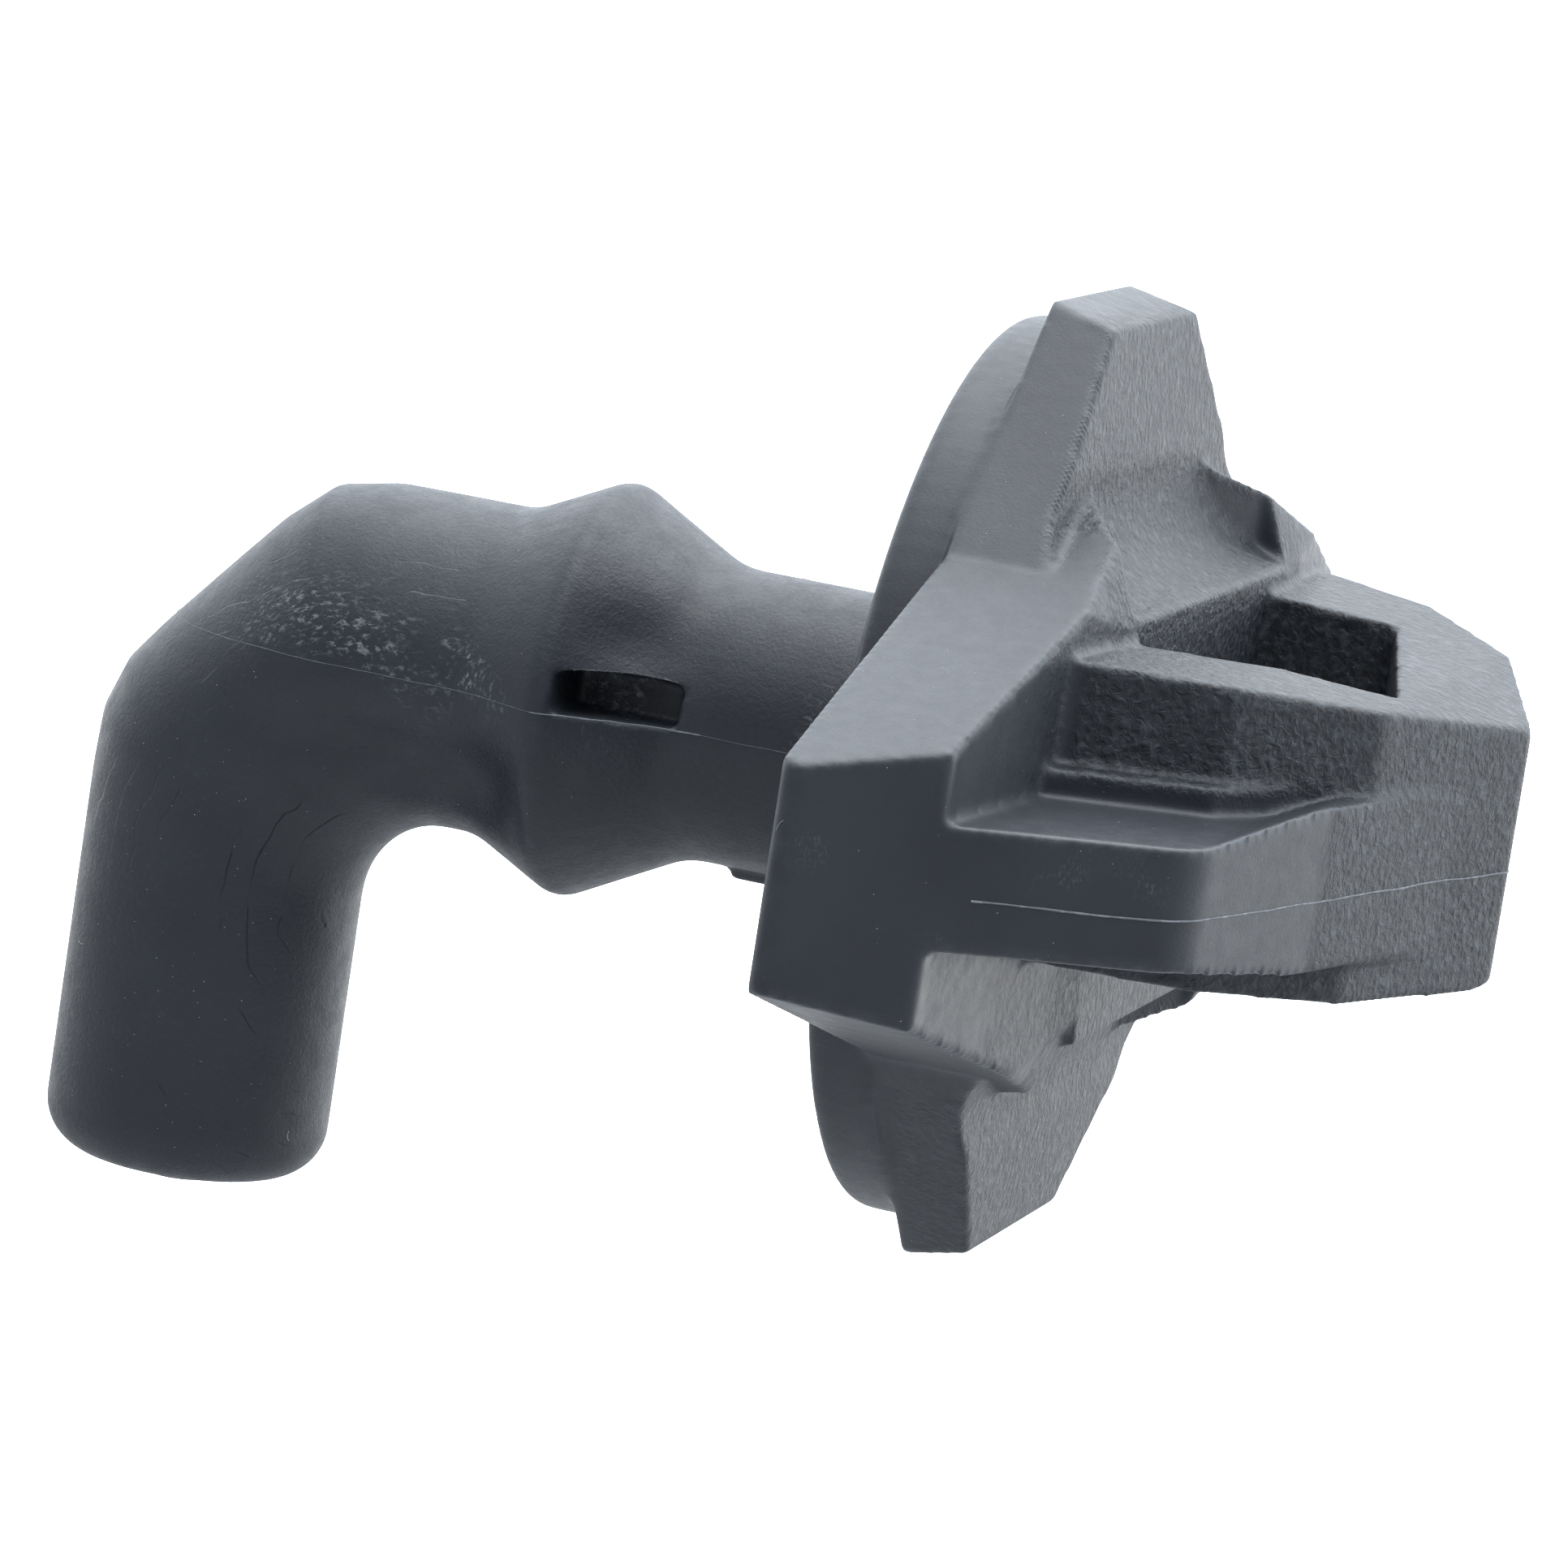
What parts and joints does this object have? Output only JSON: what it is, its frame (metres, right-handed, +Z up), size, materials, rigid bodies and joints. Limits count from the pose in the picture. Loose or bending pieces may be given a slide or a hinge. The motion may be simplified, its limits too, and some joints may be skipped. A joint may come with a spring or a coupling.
{
  "type": "cleat horn",
  "caption": "Moulded plastic cleat horn: an angled round horn with a stop ridge, on a round flange and a winged arrowhead with a window through its nose.",
  "frame": {"origin": "centre of the flange disc's face towards the horn, on the axis of the neck", "axes": "+X along the neck towards the nose of the head, +Y across the wings, +Z up, away from the hanging arm"},
  "size_m": [0.0437, 0.0506, 0.0318],
  "materials": {
    "horn_plastic": "dark charcoal plastic with a fine satin grain and light scuffs",
    "satin_plastic": "dark charcoal plastic, smooth satin",
    "textured_plastic": "dark charcoal plastic with a coarse spark-eroded texture"
  },
  "bodies": {
    "root": {"horn_arm": "horn_plastic", "horn_elbow": "horn_plastic", "horn_shank": "horn_plastic", "stop_ridge": "horn_plastic", "horn_neck": "horn_plastic", "neck_key": "horn_plastic", "flange_disc": "satin_plastic", "head_hub": "textured_plastic", "upper_tooth": "textured_plastic", "lower_tooth": "textured_plastic", "left_wing": "satin_plastic", "right_wing": "satin_plastic", "left_rib": "satin_plastic", "right_rib": "satin_plastic", "left_cheek": "textured_plastic", "right_cheek": "textured_plastic", "nose_tip": "textured_plastic"}
  },
  "joints": []
}
